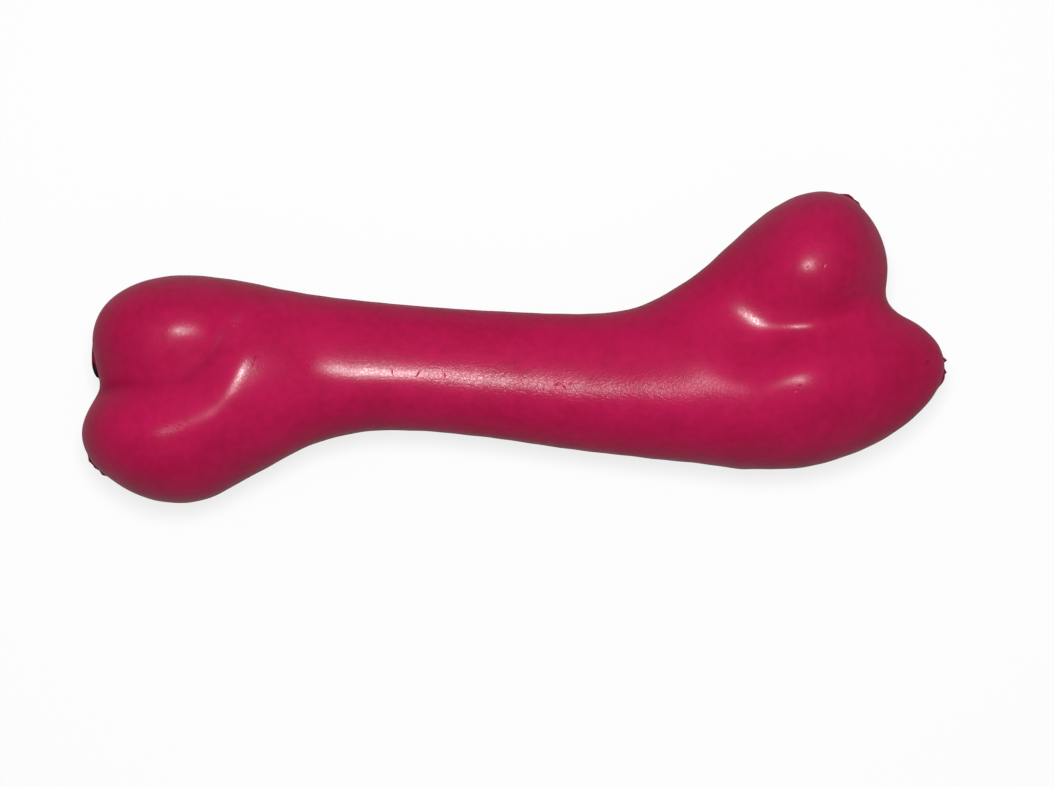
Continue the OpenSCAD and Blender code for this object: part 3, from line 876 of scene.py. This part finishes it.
points, faces, _ = half_shell(lower_gap)
flipped = points * [1, 1, -1] + [0, 0, PART_Z]
flipped[:, 2] = np.maximum(flipped[:, 2], 0)
lower_skin = make("lower_skin", flipped, [f[::-1] for f in faces])
collar_root = COLLAR_ROOT * WALL - BARREL_SINK
bore_r = BARREL_R + FIT_GAP
collar = rounded([
    [COLLAR_CORE_R, collar_root], [COLLAR_R, collar_root],
    [COLLAR_R, COLLAR_H], [COLLAR_CORE_R, COLLAR_H],
], COLLAR_ROUND)
cut(lower_skin, "UNION", ring_solid("collar", collar, foot))
groove_low, groove_high = RIB_Z - FIT_GAP, RIB_Z + RIB_H + FIT_GAP
bore = np.array([
    [AXIS_R, BORE_LOW], [bore_r, BORE_LOW], [bore_r, groove_low], [RIB_R + FIT_GAP, groove_low],
    [RIB_R + FIT_GAP, groove_high], [bore_r, groove_high], [bore_r, BARREL_L], [AXIS_R, BARREL_L],
])
cut(lower_skin, "DIFFERENCE", ring_solid("bore", bore, foot))
lower_skin.data.set_sharp_from_angle(angle=np.radians(SHARP))
wear_and_shade(lower_skin)
give(lower_skin, rubber)
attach(lower_skin, "bone")
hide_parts("lower_half")

points, faces = flash_fin(outline)
flash_line = make("flash_line", points, faces)
# The flash is painted half dark all round, and carries the notch's painted shadow
paint(flash_line, "shadow_and_darkening", np.maximum(notch_shadow(points), FLASH_DARK))
give(flash_line, rubber)
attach(flash_line, "bone")

sleeve_r = BARREL_R - BARREL_WALL
barrel = rounded([
    [VENT_R, 0], [BARREL_R, 0], [BARREL_R, RIB_Z], [RIB_R, RIB_Z], [RIB_R, RIB_Z + RIB_H],
    [BARREL_R, RIB_Z + RIB_H], [BARREL_R, BARREL_L], [sleeve_r, BARREL_L],
    [sleeve_r, BARREL_WALL], [VENT_R, BARREL_WALL],
], BARREL_ROUND)
barrel_shell = ring_solid("barrel_shell", barrel, foot)
give(barrel_shell, moulded_plastic("natural_polyethylene", "#dcd8cb", 0.42))
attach(barrel_shell, "bone")
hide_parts("squeaker_barrel")

for node, finish in {
    "reed_sleeve": moulded_plastic("sleeve_polyethylene", "#d2cdbf", 0.45),
    "reed_seat": moulded_plastic("seat_polyethylene", "#cfcabb", 0.45),
    "reed": moulded_plastic("reed_film", "#ebe9e2", 0.2),
}.items():
    give(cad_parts[node], finish)


# Studio

# The camera looks straight down at the point in the middle of the photograph, from CAMERA_H above
# the parting plane, where the photograph is VIEW_W wide
VIEW_MIDDLE = np.array([2.26, -7.98])
VIEW_W = 182.9
CAMERA_H = 510.0
SENSOR_W = 36.0
# Light of the sky, of the lamp and of the floor, on a scale where 1 shows a colour as it is written
SKY = 0.19
LAMP_LIGHT = 0.84
FLOOR_TONE = 0.2
# The floor's white to the camera, just over 1 so that it doesn't grey, and its half width
FLOOR_WHITE = 1.01
FLOOR_HALF = 3000.0
# The lamp: its width, its power in watts, and its place and aim, both from above the parting plane
LAMP_W = 110.0
LAMP_WATTS = 2.05
LAMP_PLACE = Vector((-0.5, 60.0, PART_Z + 500.0))
LAMP_AIM = Vector((0.0, -4.0, PART_Z))


def studio():
    """Camera, one soft lamp beside it, an even sky, and a white floor that keeps the shadow."""
    camera = bpy.data.cameras.new("camera")
    camera.lens = SENSOR_W * CAMERA_H / VIEW_W
    camera.sensor_width = SENSOR_W
    stand = bpy.data.objects.new("camera", camera)
    stand.location = Vector((*VIEW_MIDDLE, PART_Z + CAMERA_H)) * MM
    bpy.context.scene.collection.objects.link(stand)
    bpy.context.scene.camera = stand

    lamp = bpy.data.lights.new("lamp", "AREA")
    lamp.shape = "DISK"
    lamp.size = LAMP_W * MM
    lamp.energy = LAMP_WATTS
    head = bpy.data.objects.new("lamp", lamp)
    head.location = LAMP_PLACE * MM
    head.rotation_euler = (LAMP_AIM - LAMP_PLACE).to_track_quat("-Z", "Y").to_euler()
    bpy.context.scene.collection.objects.link(head)

    world = bpy.data.worlds.new("sky")
    bpy.context.scene.world = world
    world.use_nodes = True
    tree = world.node_tree
    tree.nodes.clear()
    sky = add(tree, "ShaderNodeBackground", {}, {"Color": (1, 1, 1, 1), "Strength": SKY})
    add(tree, "ShaderNodeOutputWorld", {}, {"Surface": sky})

    # The floor shows white to the camera and in reflections, less the shadow that falls on it, and
    # throws back only FLOOR_TONE of the light that reaches it
    made, tree, out = material("white_floor")
    path = add(tree, "ShaderNodeLightPath")
    seen = add(tree, "ShaderNodeMath", LARGEST, {
        0: path.outputs["Is Camera Ray"], 1: path.outputs["Is Glossy Ray"]})
    seen = add(tree, "ShaderNodeMath", LARGEST, {0: seen, 1: path.outputs["Is Transmission Ray"]})
    matt = add(tree, "ShaderNodeBsdfDiffuse", {}, {"Color": (FLOOR_TONE,) * 3 + (1,)})
    missing = FLOOR_WHITE - FLOOR_TONE * (LAMP_LIGHT + SKY)
    glow = add(tree, "ShaderNodeEmission", {}, {
        "Color": (1, 1, 1, 1),
        "Strength": add(tree, "ShaderNodeMath", PRODUCT, {0: seen, 1: missing})})
    top = add(tree, "ShaderNodeAddShader", {}, {0: matt, 1: glow})
    # From below it isn't there, so that the underside can be looked at
    below = add(tree, "ShaderNodeNewGeometry").outputs["Backfacing"]
    clear = add(tree, "ShaderNodeBsdfTransparent")
    both = add(tree, "ShaderNodeMixShader", {}, {0: below, 1: top, 2: clear})
    tree.links.new(both.outputs[0], out.inputs["Surface"])
    far = FLOOR_HALF
    corners = [(-far, -far, 0), (far, -far, 0), (far, far, 0), (-far, far, 0)]
    floor = make("floor", corners, [(0, 1, 2, 3)])
    give(floor, made)


studio()
bpy.context.scene.view_settings.view_transform = "Standard"
